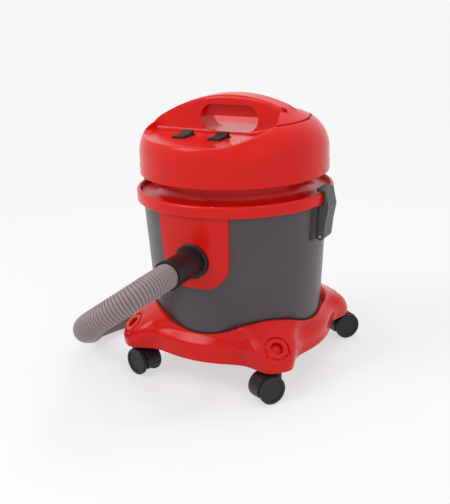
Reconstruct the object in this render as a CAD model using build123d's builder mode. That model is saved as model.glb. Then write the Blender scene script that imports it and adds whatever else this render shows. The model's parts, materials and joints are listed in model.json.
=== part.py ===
"""Wet and dry shop vacuum: tapered tank on a four-lobed caster base, lift-off motor head, corrugated hose.

Frame: millimetres, +Z up, the origin on the floor under the tank's axis.
The hose inlet faces -Y (the front), the carrying handle runs along X, the latches are at +X and -X.
"""

import os
from math import acos, asin, cos, pi, radians, sin, sqrt, tan

from build123d import *

os.makedirs("parts", exist_ok=True)

# ---------------------------------------------------------------- driving dimensions
# Tank
drum_top_radius = 167.1
drum_bottom_radius = 152.7
drum_top_z = 318.5
drum_bottom_z = 84.0
drum_wall = 1.5
drum_corner = 10.0
foot_boss_place = 70.0
foot_boss_radius = 7.0
foot_boss_height = 12.0

# Rim collar round the tank's mouth
collar_radius = drum_top_radius + 11.2
collar_bottom_z = 315.9
collar_top_z = 336.2
collar_wall = 6.3
collar_floor = 3.0
collar_lip_width = 5.0
collar_lip_bottom_z = 307.0
collar_rounding = 4.5
lip_gap = 0.3

# Head: gasket, base with its neck, cover
seal_gap = 0.3
gasket_width = 4.5
gasket_height = 2.5
foot_gap = 0.6
foot_width = 21.4
neck_radius = 134.0
neck_sweep = 16.0
neck_wall = 2.8
ledge_width = 13.2
skirt_radius = 170.4
skirt_bottom_z = 361.7
parting_z = 380.0
head_wall = 3.0
skirt_step = 0.5
cover_radius = skirt_radius - skirt_step
cover_wall = 3.5
cover_straight_z = 400.0
shoulder_radius = 64.4
crown_start_radius = 139.0

# Decks in front of and behind the handle
deck_z = 430.0
deck_half_length = 84.0
deck_flare = (31.0, 49.0)
deck_flat_left = 74.0
deck_flat_right = 40.0
deck_rise_left = 46.0
deck_rise_right = 120.0

# Handle moulded into the cover
handle_x = 5.0
handle_length = 290.0
handle_width = 48.0
handle_root_z = 440.0
handle_top_z = 497.0
handle_arch_radius = 250.0
handle_crown = 10.0
hand_hole_x = 3.5
hand_hole_length = 113.0
hand_hole_bottom = 3.0
recess_top_z = 480.0
grip_bottom_z = 458.0
grip_width = 24.0

# Screw wells and slits at the handle's ends
well_radius = 6.8
well_x = 106.0
well_y = 18.5
well_floor_z = 446.0
well_boss_z = 430.0
well_boss_radius = 9.5
slit_radius = 137.0
slit_width = 4.4
slit_floor_z = 453.8
slit_half_angle = 32.4

# Rocker switches on the front deck
switch_x = (-59.0, 11.0)
switch_y = -78.0
bezel_width = 26.4
bezel_length = 44.4
bezel_height = 1.2
switch_body_width = 24.4
switch_body_length = 42.4
switch_wall = 1.0
switch_depth = 18.0
switch_fit = 0.2
rocker_radius = 19.9
rocker_width = 21.6
rocker_end = 5.6
rocker_valley = 2.8
rocker_keel = 9.0
rocker_keel_half_length = 7.0
rocker_tilt = 8.0
trunnion_radius = 1.5

# Inlet, cuff and hose
inlet_z = 237.0
plate_thickness = 6.0
plate_half_width = 66.0
plate_foot_half_width = 60.0
plate_bottom_z = 187.0
plate_corner = 45.0
socket_radius = 31.0
socket_flange = 5.5
socket_rounding = 2.5
socket_pipe_radius = 22.5
socket_bore = 20.0
nut_radius = 31.0
nut_depth = 10.0
pipe_behind_nut = 12.0
deflector_wall = 2.5
deflector_length = 38.0
cuff_radius = 24.0
cuff_length = 76.5
cuff_ring_radius = 25.6
cuff_ring_length = 6.0
cuff_spigot_radius = 19.8
cuff_spigot_length = 30.0
hose_radius = 20.5
hose_wall = 3.5
hose_grip = 28.0
pipe_gap = 0.3
connector_radius = 23.0
connector_length = 62.0
connector_tip_radius = 19.5

# Base
base_bottom_z = 54.5
base_wall = 3.5
base_floor_z = 78.0
valley_z = 100.0
crest_z = 125.0
wave_radius = 150.0
seal_width = 1.6
seal_height = 2.5
plug_radius = 11.0
plug_thickness = 3.0
plug_crown = 3.0
plug_place = (199.0, 87.0)
plug_boss_radius = 14.5
groove_radius_inside = 18.5
groove_width = 3.6
groove_leg = 14.0
groove_depth = 2.2

# Casters
caster_circle = 200.0
caster_trail = 19.8
wheel_radius = 24.8
wheel_inner = 13.2
wheel_outer = 21.0
axle_radius = 3.0
hood_radius = 26.0
hood_half_width = 12.7
hood_bottom_z = 15.0
stem_boss_radius = 9.5
stem_boss_z = 54.2
stem_radius = 5.5
stem_top_z = 75.2
running_gap = 0.05
sleeve_radius = 8.0
sleeve_top_z = 77.0
lobe_angles = {"front_left": -45.0, "front_right": 45.0, "rear_right": 135.0, "rear_left": -135.0}
trail_headings = {"front_left": 72.0, "front_right": -32.0, "rear_right": 139.0, "rear_left": -110.0}

# Latches
latch_pivot_z = 257.0
latch_pivot_lift = 9.2
latch_half_width = 20.0
latch_wall = 3.0
latch_end_radius = 6.7
latch_rim_gap = 0.7
latch_hook_z = 337.2
latch_top_z = 342.8
latch_brow = (3.2, 340.2)
latch_knee = (9.0, 311.0)
latch_waist = (3.2, 281.0)
latch_nose_reach = 11.9
bracket_thickness = 2.0
bracket_rail = 5.0
bracket_half_width = 33.0
bracket_bottom_z = 253.0
bracket_top_z = 315.0
ear_half_width = 4.0
ear_radius = 4.0
latch_gap = 0.4
pin_radius = 2.0
flat_gap = 4.4

# Motor group
pan_flange_gap = 2.2
pan_wall_radius = 100.0
pan_floor_z = 292.0
pan_eye_radius = 24.0
tower_radius = 6.0
screw_radius = 2.0
screw_head_radius = 4.3
screw_head_height = 3.0
fan_case_radius = 72.0
fan_case_top_z = 340.0
fan_radius = 62.0
fan_bottom_z = 306.0
fan_top_z = 326.0
shaft_radius = 4.0
shaft_top_z = 414.0
field_radius = 45.0
field_bore = 22.8
rotor_radius = 22.0
motor_top_z = 412.0
motor_wall = 3.0
bearing_radius = 8.0
bearing_width = 7.0
commutator_radius = 11.0

# Float and filter
cage_inner_radius = 27.6
cage_bottom_z = 219.0
ball_radius = 27.0
ball_rest_gap = 0.1
ball_shaft_gap = 1.5
filter_inner_radius = 36.0
filter_radius = 47.0
filter_bottom_z = 206.0
filter_wall = 4.0

# ---------------------------------------------------------------- places that follow from them
taper = (drum_top_radius - drum_bottom_radius) / (drum_top_z - drum_bottom_z)
lip_radius = drum_top_radius - taper * (drum_top_z - collar_lip_bottom_z) - drum_wall - lip_gap
collar_inner_radius = lip_radius - collar_lip_width
mouth_radius = collar_radius - collar_wall
collar_floor_z = drum_top_z + collar_floor
ledge_z = collar_floor_z + seal_gap + gasket_height
foot_radius = mouth_radius - foot_gap
foot_top_z = ledge_z + head_wall
neck_bore = neck_radius - neck_wall
ledge_inner_radius = neck_bore - ledge_width
nose_x = collar_radius - latch_nose_reach
flat_x = nose_x - flat_gap
ball_raised_top_z = pan_floor_z - sqrt(ball_radius**2 - pan_eye_radius**2) + ball_radius
shaft_bottom_z = ball_raised_top_z + ball_shaft_gap


def drum_radius(z):
    """Outer radius of the tapered drum at a height."""
    return drum_bottom_radius + taper * (z - drum_bottom_z)


socket_face_y = -drum_radius(inlet_z) - plate_thickness - socket_flange
nut_face_y = -drum_radius(inlet_z) + drum_wall + nut_depth
socket_end_y = nut_face_y + pipe_behind_nut
deflector_end_y = nut_face_y + deflector_length
cuff_end_y = socket_face_y - cuff_length
cuff_spigot_end_y = socket_face_y + cuff_spigot_length


def around(angle, radius):
    """Point at an angle from the front (-Y), turning toward +X."""
    return (radius * sin(radians(angle)), -radius * cos(radians(angle)))


def save(piece, name):
    """Label a finished piece and write its STEP file."""
    piece.label = name
    export_step(piece, f"parts/{name}.step")
    return piece


def ring(inner, outer, bottom, top, mode=Mode.ADD):
    """Add or cut a plain ring round the Z axis."""
    with BuildSketch(Plane.XY.offset(bottom)) as section:
        Circle(outer)
        if inner > 0:
            Circle(inner, mode=Mode.SUBTRACT)
    extrude(section.sketch, amount=top - bottom, mode=mode)


def posts(places, radius, bottom, top, mode=Mode.ADD):
    """Add or cut upright round posts at the given places."""
    with BuildSketch(Plane.XY.offset(bottom)) as section:
        with Locations(*places):
            Circle(radius)
    extrude(section.sketch, amount=top - bottom, mode=mode)


def turned(points, mode=Mode.ADD):
    """Turn a straight-sided half section (radius, z) about the Z axis."""
    with BuildSketch(Plane.XZ) as section:
        Polygon(*points, align=None)
    revolve(section.sketch, axis=Axis.Z, mode=mode)


def frustum(margin, bottom, top, mode=Mode.ADD):
    """Add or cut the tapered body that the drum's wall follows, grown by a margin."""
    turned(
        [(0, bottom), (drum_radius(bottom) + margin, bottom), (drum_radius(top) + margin, top), (0, top)],
        mode,
    )


def round_corner(sketch, place, radius):
    """Round the corner of the sketch that lies nearest to a place."""
    fillet(sketch.vertices().sort_by_distance(place)[0], radius)


def inlet_round(radius, front_y, rear_y, mode=Mode.ADD):
    """Add or cut a round shape on the inlet's axis."""
    with BuildSketch(Plane.XZ.offset(-rear_y)) as section:
        with Locations((0, inlet_z)):
            Circle(radius)
    extrude(section.sketch, amount=rear_y - front_y, mode=mode)


corners = [(x, y) for x in (-foot_boss_place, foot_boss_place) for y in (-foot_boss_place, foot_boss_place)]
wells = [(x, y) for x in (-well_x, well_x) for y in (-well_y, well_y)]
pan_flange_radius = neck_bore - pan_flange_gap
pan_screw_places = [around(30 + 60 * step, (ledge_inner_radius + pan_flange_radius) / 2) for step in range(6)]

# ---------------------------------------------------------------- tank drum
with BuildPart() as tank_drum:
    drum_floor_z = drum_bottom_z + drum_wall
    with BuildSketch(Plane.XZ) as outline:
        Polygon(
            (0, drum_bottom_z),
            (drum_bottom_radius, drum_bottom_z),
            (drum_top_radius, drum_top_z),
            (drum_top_radius - drum_wall, drum_top_z),
            (drum_radius(drum_floor_z) - drum_wall, drum_floor_z),
            (0, drum_floor_z),
            align=None,
        )
        round_corner(outline, (drum_bottom_radius, drum_bottom_z), drum_corner)
        round_corner(outline, (drum_bottom_radius - drum_wall, drum_floor_z), drum_corner - drum_wall)
    revolve(axis=Axis.Z)
    posts(corners, foot_boss_radius, drum_floor_z - 0.5, drum_floor_z + foot_boss_height)
    posts(corners, screw_radius, drum_bottom_z, drum_floor_z + foot_boss_height - 2, Mode.SUBTRACT)
    inlet_round(socket_pipe_radius + pipe_gap, -200, -100, Mode.SUBTRACT)
save(tank_drum.part, "tank_drum")

# ---------------------------------------------------------------- rim collar
with BuildPart() as rim_collar:
    with BuildSketch(Plane.XZ) as outline:
        Polygon(
            (collar_inner_radius, collar_lip_bottom_z),
            (lip_radius, collar_lip_bottom_z),
            (lip_radius, drum_top_z),
            (mouth_radius, drum_top_z),
            (mouth_radius, collar_bottom_z),
            (collar_radius, collar_bottom_z),
            (collar_radius, collar_top_z),
            (mouth_radius, collar_top_z),
            (mouth_radius, collar_floor_z),
            (collar_inner_radius, collar_floor_z),
            align=None,
        )
        round_corner(outline, (collar_radius, collar_top_z), collar_rounding)
        round_corner(outline, (mouth_radius, collar_top_z), collar_wall - collar_rounding - 0.6)
    revolve(axis=Axis.Z)
save(rim_collar.part, "rim_collar")

# ---------------------------------------------------------------- head gasket
with BuildPart() as head_gasket:
    ring(flat_x - gasket_width, flat_x, collar_floor_z + seal_gap, ledge_z)
save(head_gasket.part, "head_gasket")

# ---------------------------------------------------------------- inlet: plate, socket, nut, deflector
with BuildPart() as inlet_plate:
    frustum(plate_thickness, plate_bottom_z, collar_bottom_z)
    frustum(0, plate_bottom_z, collar_bottom_z, Mode.SUBTRACT)
    with BuildSketch(Plane.XZ) as outline:
        Polygon(
            (-plate_half_width, collar_bottom_z),
            (-plate_foot_half_width, plate_bottom_z),
            (plate_foot_half_width, plate_bottom_z),
            (plate_half_width, collar_bottom_z),
            align=None,
        )
        for side in (-1, 1):
            round_corner(outline, (side * plate_foot_half_width, plate_bottom_z), plate_corner)
    extrude(amount=200, mode=Mode.INTERSECT)
    inlet_round(socket_pipe_radius + pipe_gap, -200, -100, Mode.SUBTRACT)
save(inlet_plate.part, "inlet_plate")

with BuildPart() as inlet_socket:
    inlet_round(socket_radius, socket_face_y, nut_face_y)
    frustum(plate_thickness, plate_bottom_z, collar_bottom_z, Mode.SUBTRACT)
    inlet_round(socket_pipe_radius, socket_face_y, socket_end_y)
    inlet_round(socket_bore, socket_face_y, socket_end_y, Mode.SUBTRACT)
    rim = inlet_socket.edges().filter_by(GeomType.CIRCLE).group_by(Axis.Y)[0].sort_by(SortBy.RADIUS)[-1]
    fillet(rim, socket_rounding)
save(inlet_socket.part, "inlet_socket")

with BuildPart() as inlet_nut:
    frustum(-drum_wall, plate_bottom_z, collar_bottom_z)
    inlet_round(nut_radius, -drum_top_radius, nut_face_y, Mode.INTERSECT)
    inlet_round(socket_pipe_radius, -200, -100, Mode.SUBTRACT)
save(inlet_nut.part, "inlet_nut")

with BuildPart() as inlet_deflector:
    cup_radius = socket_pipe_radius + deflector_wall
    inlet_round(cup_radius, nut_face_y, deflector_end_y)
    inlet_round(socket_pipe_radius, nut_face_y, deflector_end_y - deflector_wall, Mode.SUBTRACT)
    with BuildSketch(Plane.XY.offset(inlet_z - cup_radius)):
        with Locations((-cup_radius, socket_end_y + 2)):
            Rectangle(cup_radius * 1.7, deflector_end_y - deflector_wall - socket_end_y - 2, align=Align.MIN)
    extrude(amount=2 * cup_radius, mode=Mode.SUBTRACT)
save(inlet_deflector.part, "inlet_deflector")

# ---------------------------------------------------------------- hose cuff, hose and connector
airway = hose_radius - hose_wall
with BuildPart() as hose_cuff:
    inlet_round(cuff_radius, cuff_end_y, socket_face_y)
    inlet_round(cuff_ring_radius, cuff_end_y, cuff_end_y + cuff_ring_length)
    inlet_round(cuff_spigot_radius, socket_face_y, cuff_spigot_end_y)
    inlet_round(airway, cuff_end_y, cuff_spigot_end_y, Mode.SUBTRACT)
    inlet_round(hose_radius, cuff_end_y, cuff_end_y + hose_grip, Mode.SUBTRACT)
save(hose_cuff.part, "hose_cuff")

floor_level = hose_radius + 0.1
connector_level = connector_radius + 0.1
hose_points = [
    (0, cuff_end_y + hose_grip, inlet_z),
    (0, -302, inlet_z - 1),
    (-51, -348, 199),
    (-113, -333, 157),
    (-154, -254, 118),
    (-222, -177, 74),
    (-283, -96, 33),
    (-284, -8, floor_level),
    (-245, 66, floor_level),
    (-248, 148, floor_level),
    (-301, 220, floor_level),
    (-344, 318, floor_level),
    (-310, 436, floor_level),
    (-200, 494, floor_level),
    (-81, 457, floor_level),
    (-25, 360, connector_level),
    (12, 272, connector_level),
]


def bend_radii(points, share=0.45):
    """Radius of each inner point's arc: as large as its two runs allow."""
    radii = []
    for before, here, after in zip(points, points[1:], points[2:]):
        arrive = Vector(*here) - Vector(*before)
        leave = Vector(*after) - Vector(*here)
        half_turn = radians(arrive.get_angle(leave)) / 2
        radii.append(share * min(arrive.length, leave.length) / tan(half_turn))
    return radii


hose_bends = bend_radii(hose_points)
print("hose bend radii, mm:", [round(radius) for radius in hose_bends])

with BuildPart() as hose:
    with BuildLine() as hose_route:
        FilletPolyline(*hose_points, radius=hose_bends)
    hose_path = hose_route.wires()[0]
    with BuildSketch(Plane(origin=hose_path @ 0, z_dir=hose_path % 0)):
        Circle(hose_radius)
        Circle(airway, mode=Mode.SUBTRACT)
    sweep()
hose_length = hose_path.length
hose_volume = pi * (hose_radius**2 - airway**2) * hose_length
print("hose length, mm:", round(hose_length), "volume over section x length:", hose.part.volume / hose_volume)
save(hose.part, "hose")

with BuildPart() as hose_connector:
    tip = Plane(origin=hose_path @ 1, z_dir=hose_path % 1)
    with BuildSketch(tip.offset(-hose_grip)):
        Circle(connector_radius)
        Circle(hose_radius, mode=Mode.SUBTRACT)
    extrude(amount=hose_grip)
    with BuildSketch(tip):
        Circle(connector_radius)
    with BuildSketch(tip.offset(connector_length)):
        Circle(connector_tip_radius)
    loft()
    with BuildSketch(tip):
        Circle(airway)
    extrude(amount=connector_length, mode=Mode.SUBTRACT)
save(hose_connector.part, "hose_connector")

# ---------------------------------------------------------------- base skirt
# Height, radius in the valleys, radius at the lobes, half width of a lobe in degrees.
base_levels = [
    (54.5, 172.5, 221.0, 10.8),
    (62.0, 172.5, 221.5, 11.3),
    (75.0, 172.5, 219.0, 12.5),
    (88.0, 168.6, 211.0, 14.0),
    (100.0, 157.5, 196.0, 16.0),
    (110.0, 157.2, 180.0, 20.0),
    (118.0, 157.5, 168.0, 24.0),
    (125.0, 158.0, 160.0, 24.0),
]


def lobed_body(inset):
    """Add the four-lobed body; each lobe swells from the valley circle as 1 / (1 + (angle / width)^4)."""
    sections = []
    for z, valley, lobe, width in base_levels:
        outline = []
        for step in range(72):
            angle = 5.0 * step
            off_lobe = (angle % 90) - 45
            swell = 1 / (1 + (off_lobe / width) ** 4)
            outline.append(around(angle, valley + (lobe - valley) * swell - inset))
        with BuildSketch(Plane.XY.offset(z - inset)) as section:
            with BuildLine():
                Spline(*outline, periodic=True)
            make_face()
        sections.append(section.sketch)
    loft(sections)


with BuildPart() as above_wave:
    slope = acos(1 - (crest_z - valley_z) / 2 / wave_radius)
    reach = 2 * wave_radius * sin(slope)
    middle_z = (valley_z + crest_z) / 2
    crest_center_z = crest_z - wave_radius
    for plane in (Plane.XZ, Plane.YZ):
        with BuildSketch(plane):
            with BuildLine():
                for side in (-1, 1):
                    ThreePointArc(
                        (side * reach, crest_z),
                        (
                            side * (reach - wave_radius * sin(slope / 2)),
                            crest_center_z + wave_radius * cos(slope / 2),
                        ),
                        (side * reach / 2, middle_z),
                    )
                ThreePointArc((-reach / 2, middle_z), (0, valley_z), (reach / 2, middle_z))
                Polyline((reach, crest_z), (reach, crest_z + 40), (-reach, crest_z + 40), (-reach, crest_z))
            make_face()
        extrude(amount=260, both=True)
    with BuildSketch(Plane.XY.offset(crest_z)):
        Rectangle(520, 520)
    extrude(amount=40)

socket_places = [around(angle, caster_circle) for angle in lobe_angles.values()]
plug_planes = []
for angle in lobe_angles.values():
    out_x, out_y = around(angle, 1)
    plug_planes.append(
        Plane(
            origin=(out_x * plug_place[0], out_y * plug_place[0], plug_place[1]),
            x_dir=(-out_y, out_x, 0),
            z_dir=(out_x, out_y, 1),
        )
    )

with BuildPart() as base_hollow:
    lobed_body(base_wall)
    frustum(base_wall, base_floor_z, crest_z + 5, Mode.SUBTRACT)
    posts(socket_places, sleeve_radius + base_wall, base_bottom_z - base_wall, crest_z, Mode.SUBTRACT)
    for plane in plug_planes:
        with BuildSketch(plane.offset(-plug_thickness - base_wall)):
            Circle(plug_boss_radius)
        extrude(amount=plug_thickness + base_wall + 15, mode=Mode.SUBTRACT)

with BuildPart() as lobe_grooves:
    groove_reach = groove_radius_inside + groove_width
    for plane in plug_planes:
        with BuildSketch(plane.offset(-plug_thickness - base_wall)) as section:
            for radius, mode in ((groove_reach, Mode.ADD), (groove_radius_inside, Mode.SUBTRACT)):
                Circle(radius, mode=mode)
                Rectangle(2 * radius, groove_leg, align=(Align.CENTER, Align.MAX), mode=mode)
        extrude(section.sketch, amount=4 * groove_reach)

with BuildPart() as groove_core:
    lobed_body(groove_depth)

with BuildPart() as base_skirt:
    lobed_body(0)
    add(lobe_grooves.part - groove_core.part, mode=Mode.SUBTRACT)
    add(base_hollow.part, mode=Mode.SUBTRACT)
    frustum(0, drum_bottom_z, crest_z + 5, Mode.SUBTRACT)
    add(above_wave.part, mode=Mode.SUBTRACT)
    posts(socket_places, sleeve_radius, base_bottom_z, sleeve_top_z, Mode.SUBTRACT)
    posts(corners, screw_radius, base_floor_z - 1, drum_bottom_z + 1, Mode.SUBTRACT)
    for plane in plug_planes:
        with BuildSketch(plane.offset(-plug_thickness)):
            Circle(plug_radius)
        extrude(amount=plug_thickness + 15, mode=Mode.SUBTRACT)
save(base_skirt.part, "base_skirt")

with BuildPart() as lobe_plugs:
    crown_radius = (plug_radius**2 + plug_crown**2) / (2 * plug_crown)
    for plane in plug_planes:
        with BuildPart(plane.offset(-plug_thickness)) as plug:
            Cylinder(plug_radius, plug_thickness + plug_crown, align=(Align.CENTER, Align.CENTER, Align.MIN))
            with Locations((0, 0, plug_thickness + plug_crown - crown_radius)):
                Sphere(crown_radius, mode=Mode.INTERSECT)
        add(plug.part)
save(lobe_plugs.part, "lobe_plugs")

with BuildPart() as base_seal:
    frustum(seal_width, valley_z - 2, crest_z + seal_height)
    frustum(0, valley_z - 2, crest_z + seal_height, Mode.SUBTRACT)
    add(above_wave.part, mode=Mode.INTERSECT)
    add(above_wave.part.moved(Location((0, 0, seal_height))), mode=Mode.SUBTRACT)
save(base_seal.part, "base_seal")

with BuildPart() as base_screws:
    posts(corners, screw_head_radius, base_floor_z - screw_head_height, base_floor_z)
    posts(corners, screw_radius, base_floor_z, drum_floor_z + foot_boss_height - 3)
save(base_screws.part, "base_screws")

with BuildPart() as caster_sockets:
    posts(socket_places, sleeve_radius, base_bottom_z, sleeve_top_z)
    posts(socket_places, stem_radius + running_gap, base_bottom_z, stem_top_z + seal_gap, Mode.SUBTRACT)
save(caster_sockets.part, "caster_sockets")

# ---------------------------------------------------------------- casters, built at the origin
axle_line = Plane(origin=(caster_trail, 0, wheel_radius), x_dir=(1, 0, 0), z_dir=(0, -1, 0))
with BuildPart() as caster_body:
    with BuildSketch(axle_line):
        Circle(hood_radius)
        with Locations((0, hood_bottom_z - wheel_radius)):
            Rectangle(4 * hood_radius, hood_radius, align=(Align.CENTER, Align.MAX), mode=Mode.SUBTRACT)
    extrude(amount=hood_half_width, both=True)
    posts([(0, 0)], stem_boss_radius, wheel_radius + 5, stem_boss_z)
    posts([(0, 0)], stem_radius, stem_boss_z, stem_top_z)
    with BuildSketch(axle_line):
        Circle(axle_radius + running_gap)
    extrude(amount=hood_half_width, both=True, mode=Mode.SUBTRACT)

with BuildPart() as caster_axle:
    with BuildSketch(axle_line):
        Circle(axle_radius)
    extrude(amount=wheel_outer - 2, both=True)

with BuildPart() as caster_wheels:
    with BuildSketch(axle_line.offset(wheel_inner)):
        Circle(wheel_radius)
    extrude(amount=wheel_outer - wheel_inner)
    fillet(caster_wheels.edges().filter_by(GeomType.CIRCLE), 1.8)
    with BuildSketch(axle_line.offset(wheel_outer - 1.5)):
        Circle(wheel_radius - 6)
    extrude(amount=2, mode=Mode.SUBTRACT)
    with BuildSketch(axle_line.offset(wheel_inner)):
        Circle(axle_radius)
    extrude(amount=wheel_outer - wheel_inner - 2, mode=Mode.SUBTRACT)
    mirror(about=Plane.XZ)

for name, lobe_angle in lobe_angles.items():
    stem_x, stem_y = around(lobe_angle, caster_circle)
    place = Location((stem_x, stem_y, 0), (0, 0, trail_headings[name] - 90))
    save(place * caster_body.part, f"caster_{name}_body")
    save(place * caster_axle.part, f"caster_{name}_axle")
    save(place * caster_wheels.part, f"caster_{name}_wheels")

# ---------------------------------------------------------------- latches, built at +X and mirrored
latch_face_x = collar_radius + latch_rim_gap
latch_pivot_x = drum_radius(latch_pivot_z) + latch_pivot_lift
latch_pivot = (latch_pivot_x, latch_pivot_z)


def bracket_shell(thickness, inner_y, outer_y):
    """Add two strips of a shell on the drum, between two distances from the XZ plane."""
    with BuildPart() as shell:
        frustum(thickness, bracket_bottom_z, bracket_top_z)
        frustum(0, bracket_bottom_z, bracket_top_z, Mode.SUBTRACT)
        with BuildSketch(Plane.XY.offset(bracket_bottom_z)):
            for side in (-1, 1):
                with Locations((0, side * (inner_y + outer_y) / 2)):
                    Rectangle(2 * collar_radius, outer_y - inner_y, align=(Align.MIN, Align.CENTER))
        extrude(amount=bracket_top_z - bracket_bottom_z, mode=Mode.INTERSECT)
    add(shell.part)


with BuildPart() as latch_bracket:
    bracket_shell(bracket_thickness, 0, bracket_half_width)
    bracket_shell(bracket_rail, latch_half_width + 2, bracket_half_width)
    with BuildSketch(Plane.XZ) as ear:
        with Locations(latch_pivot):
            Circle(ear_radius)
            Rectangle(latch_pivot_lift, 2 * ear_radius, align=(Align.MAX, Align.CENTER))
    extrude(ear.sketch, amount=ear_half_width, both=True)
    frustum(0, bracket_bottom_z - 1, bracket_top_z, Mode.SUBTRACT)
    with BuildSketch(Plane.XZ) as eye:
        with Locations(latch_pivot):
            Circle(pin_radius)
    extrude(eye.sketch, amount=ear_half_width, both=True, mode=Mode.SUBTRACT)

with BuildPart() as latch_pin:
    with BuildSketch(Plane.XZ) as section:
        with Locations(latch_pivot):
            Circle(pin_radius)
    extrude(section.sketch, amount=latch_half_width - 0.5, both=True)

with BuildPart() as latch:
    back_x = latch_pivot_x - latch_end_radius
    collar_clear_z = collar_bottom_z - 1.4
    brow, knee, waist = [(latch_face_x + lift, z) for lift, z in (latch_brow, latch_knee, latch_waist)]
    with BuildSketch(Plane.XZ) as outline:
        Polygon(
            (nose_x, latch_hook_z),
            (nose_x, latch_top_z),
            brow,
            knee,
            waist,
            (latch_pivot_x + latch_end_radius, latch_pivot_z),
            (back_x, latch_pivot_z),
            (drum_radius(collar_clear_z) + 2 * bracket_thickness, collar_clear_z),
            (latch_face_x, collar_clear_z),
            (latch_face_x, latch_hook_z),
            align=None,
        )
        round_corner(outline, brow, 1.5)
        round_corner(outline, knee, 12)
        with Locations(latch_pivot):
            Circle(latch_end_radius)
    extrude(outline.sketch, amount=latch_half_width, both=True)
    with BuildSketch(Plane.XZ) as hollow:
        Polygon(
            (nose_x - 20, latch_pivot_z + latch_end_radius),
            (latch_pivot_x + latch_end_radius - latch_wall, latch_pivot_z + latch_end_radius),
            (waist[0] - latch_wall, waist[1]),
            (knee[0] - latch_wall, knee[1]),
            (nose_x - 20, knee[1]),
            align=None,
        )
    extrude(hollow.sketch, amount=latch_half_width - latch_wall, both=True, mode=Mode.SUBTRACT)
    slot_radius = ear_radius + latch_gap
    with BuildSketch(Plane.XZ) as slot:
        with Locations(latch_pivot):
            Circle(slot_radius)
        with Locations((latch_pivot_x + slot_radius, latch_pivot_z)):
            Rectangle(20 + slot_radius, 20, align=(Align.MAX, Align.MAX))
        with Locations(latch_pivot):
            Rectangle(20, latch_end_radius + 1, align=(Align.MAX, Align.MIN))
    extrude(slot.sketch, amount=ear_half_width + latch_gap, both=True, mode=Mode.SUBTRACT)
    with BuildSketch(Plane.XZ) as eye:
        with Locations(latch_pivot):
            Circle(pin_radius + running_gap)
    extrude(eye.sketch, amount=latch_half_width + 1, both=True, mode=Mode.SUBTRACT)

for piece, name in ((latch_bracket, "latch_bracket"), (latch_pin, "latch_pin"), (latch, "latch")):
    save(mirror(piece.part, about=Plane.YZ), f"{name}_left")
    save(piece.part, f"{name}_right")

# ---------------------------------------------------------------- head cover
shoulder_x = cover_radius - shoulder_radius
shoulder_turn = acos((crown_start_radius - shoulder_x) / shoulder_radius)
crown_radius = crown_start_radius / cos(shoulder_turn)
crown_center_z = cover_straight_z + shoulder_radius * sin(shoulder_turn) - crown_radius * sin(shoulder_turn)


def polar(center, radius, angle):
    """Point on a circle; the angle is in radians from the first axis."""
    return (center[0] + radius * cos(angle), center[1] + radius * sin(angle))


def dome(inset):
    """Add the cover's dome, moved inward by a wall thickness."""
    shoulder = (shoulder_x, cover_straight_z)
    crown = (0, crown_center_z)
    shoulder_arc = [polar(shoulder, shoulder_radius - inset, shoulder_turn * share) for share in (0, 0.5, 1)]
    crown_turn = (shoulder_turn + pi / 2) / 2
    crown_arc = [shoulder_arc[2]]
    for angle in (crown_turn, pi / 2):
        crown_arc.append(polar(crown, crown_radius - inset, angle))
    with BuildSketch(Plane.XZ) as section:
        with BuildLine():
            Polyline((0, parting_z), (cover_radius - inset, parting_z), shoulder_arc[0])
            ThreePointArc(*shoulder_arc)
            ThreePointArc(*crown_arc)
            Line(crown_arc[2], (0, parting_z))
        make_face()
    revolve(section.sketch, axis=Axis.Z)


def above_deck(inset, mode):
    """Cut or keep everything above the decks' floor: flat, then an arc rising at each end."""
    left = (-deck_flat_left, deck_z + deck_rise_left)
    right = (deck_flat_right, deck_z + deck_rise_right)
    left_arc = [polar(left, deck_rise_left + inset, angle * pi / 4) for angle in (4, 5, 6)]
    right_arc = [polar(right, deck_rise_right + inset, angle * pi / 4) for angle in (6, 7, 8)]
    roof = right_arc[2][1] + 10
    with BuildSketch(Plane.XZ) as section:
        with BuildLine():
            ThreePointArc(*left_arc)
            Line(left_arc[2], right_arc[0])
            ThreePointArc(*right_arc)
            Polyline(right_arc[2], (right_arc[2][0], roof), (left_arc[0][0], roof), left_arc[0])
        make_face()
    extrude(section.sketch, amount=200, both=True, mode=mode)


with BuildPart() as deck_scoop:
    with BuildSketch(Plane.XY.offset(deck_z - 10)):
        side_y = -handle_width / 2
        flare_x = deck_half_length + 3 * deck_flare[0]
        flare_y = side_y - 3 * deck_flare[1]
        Polygon(
            (-deck_half_length, side_y),
            (deck_half_length, side_y),
            (flare_x, flare_y),
            (-flare_x, flare_y),
            align=None,
        )
    extrude(amount=100)
    above_deck(0, Mode.INTERSECT)

with BuildPart() as cover_cavity:
    dome(cover_wall)
    above_deck(cover_wall, Mode.SUBTRACT)

with BuildPart() as handle:
    with BuildSketch(Plane.XY.offset(handle_root_z)):
        with Locations((handle_x, 0)):
            Rectangle(handle_length, handle_width)
    extrude(amount=handle_top_z - handle_root_z)
    with BuildSketch(Plane.XZ):
        with Locations((handle_x, handle_top_z - handle_arch_radius)):
            Circle(handle_arch_radius)
    extrude(amount=handle_width, both=True, mode=Mode.INTERSECT)
    arch = handle.faces().filter_by(GeomType.CYLINDER).sort_by(Axis.Z)[-1]
    fillet(arch.edges().filter_by(GeomType.CIRCLE), handle_crown)

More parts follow.
